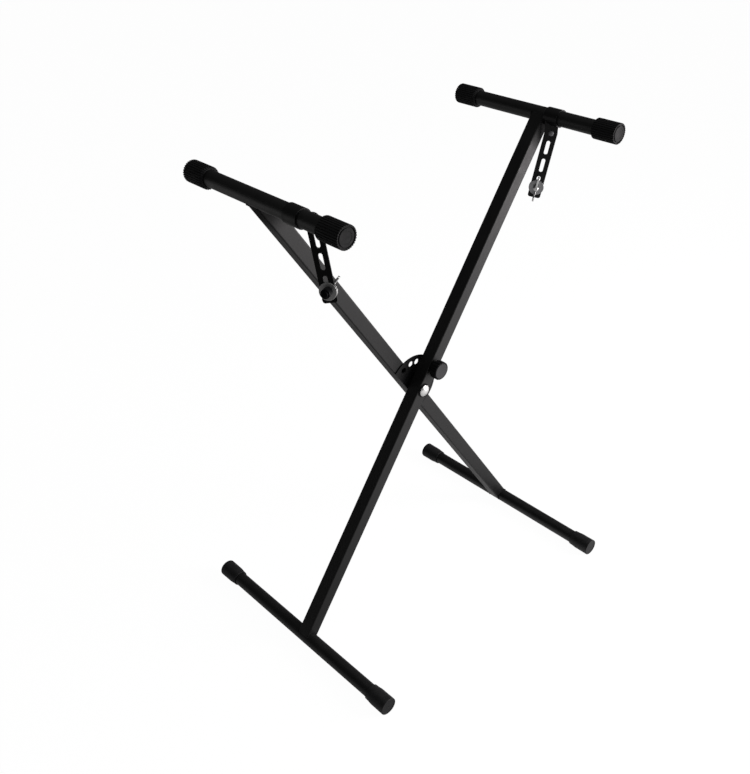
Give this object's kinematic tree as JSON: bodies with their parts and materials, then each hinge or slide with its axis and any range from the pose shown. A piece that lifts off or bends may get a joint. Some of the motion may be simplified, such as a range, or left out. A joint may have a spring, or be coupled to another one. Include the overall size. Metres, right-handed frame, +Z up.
{
  "type": "keyboard stand",
  "caption": "Folding X stand for a keyboard: crossed square legs on a pivot bolt, sprung pull-knob lock on a half-round plate, round feet and arms, slotted hold-down straps.",
  "frame": {"origin": "on the floor, under the pivot bolt, at the middle of the stand's length and width", "axes": "+Z up, +X from the left arm to the right arm, -Y towards the side with the pull knob"},
  "size_m": [0.6086, 0.4598, 0.8598],
  "materials": {
    "black_paint": "satin black powder coat",
    "black_plastic": "fine matte moulding",
    "black_rubber": "matte",
    "grey_plastic": "matte",
    "white_nylon": "matte",
    "bright_zinc": "bright zinc plate",
    "dull_steel": "plain steel"
  },
  "bodies": {
    "front_frame": {"front_leg": "black_paint", "left_foot_tube": "black_paint", "left_foot_cap_near": "black_plastic", "left_foot_cap_far": "black_plastic", "right_arm_tube": "black_paint", "right_arm_cap_near": "black_rubber", "right_arm_cap_far": "black_rubber", "pivot_bolt": "bright_zinc", "pivot_head_washer": "black_plastic", "pivot_spacer": "white_nylon", "pivot_washer": "bright_zinc", "pivot_nut": "bright_zinc", "lock_housing": "black_plastic", "lock_spring": "dull_steel"},
    "rear_frame": {"rear_leg": "black_paint", "lock_plate": "black_paint", "right_foot_tube": "black_paint", "right_foot_cap_near": "black_plastic", "right_foot_cap_far": "black_plastic", "left_arm_tube": "black_paint", "left_arm_cap_near": "black_rubber", "left_arm_cap_far": "black_rubber"},
    "lock_plunger": {"lock_pin": "dull_steel", "lock_knob": "black_plastic", "lock_knob_disc": "grey_plastic"},
    "left_collar": {"left_collar": "black_paint", "left_rivet": "bright_zinc"},
    "left_strap": {"left_strap": "black_paint"},
    "left_clamp": {"left_wing_washer": "dull_steel", "left_nut_washer": "dull_steel", "left_grip_nut": "black_plastic"},
    "left_wing_bolt": {"left_wing_bolt": "bright_zinc"},
    "right_collar": {"right_collar": "black_paint", "right_rivet": "bright_zinc"},
    "right_strap": {"right_strap": "black_paint"},
    "right_clamp": {"right_wing_washer": "dull_steel", "right_nut_washer": "dull_steel", "right_grip_nut": "black_plastic"},
    "right_wing_bolt": {"right_wing_bolt": "bright_zinc"}
  },
  "joints": [
    {"name": "fold", "type": "hinge", "parent": "front_frame", "child": "rear_frame", "pos_m": [0, 0, 0.42465], "axis": [0, 1, 0], "range_deg": [-23, 64.7]},
    {"name": "lock_pull", "type": "slide", "parent": "front_frame", "child": "lock_plunger", "axis": [0, 1, 0], "range_m": [0, 0.005], "deforming": ["lock_spring"]},
    {"name": "left_collar_swing", "type": "hinge", "parent": "rear_frame", "child": "left_collar", "pos_m": [-0.28726, -0.0705, 0.84278], "axis": [0, -1, 0], "range_deg": [-60, 10]},
    {"name": "left_strap_swivel", "type": "hinge", "parent": "left_collar", "child": "left_strap", "pos_m": [-0.26266, -0.0729, 0.83068], "axis": [-0.8441, -0.5173, 0.1409], "range_deg": [-45, 45]},
    {"name": "left_clamp_slide", "type": "slide", "parent": "left_strap", "child": "left_clamp", "axis": [-0.0014, -0.2607, -0.9654], "range_m": [-0.0184, 0]},
    {"name": "left_wing_spin", "type": "hinge", "parent": "left_clamp", "child": "left_wing_bolt", "pos_m": [-0.2628, -0.09855, 0.73568], "axis": [0.8441, 0.5173, -0.1409], "continuous": true},
    {"name": "right_collar_swing", "type": "hinge", "parent": "front_frame", "child": "right_collar", "pos_m": [0.28726, -0.0415, 0.84278], "axis": [0, 1, 0], "range_deg": [-60, 4]},
    {"name": "right_strap_swivel", "type": "hinge", "parent": "right_collar", "child": "right_strap", "pos_m": [0.28197, -0.0408, 0.81748], "axis": [-0.8209, -0.5705, 0.0244], "range_deg": [-3, 60]},
    {"name": "right_clamp_slide", "type": "slide", "parent": "right_strap", "child": "right_clamp", "axis": [-0.1198, 0.1303, -0.9842], "range_m": [-0.0164, 0.002]},
    {"name": "right_wing_spin", "type": "hinge", "parent": "right_clamp", "child": "right_wing_bolt", "pos_m": [0.27041, -0.02824, 0.7226], "axis": [-0.8209, -0.5705, 0.0244], "continuous": true}
  ]
}
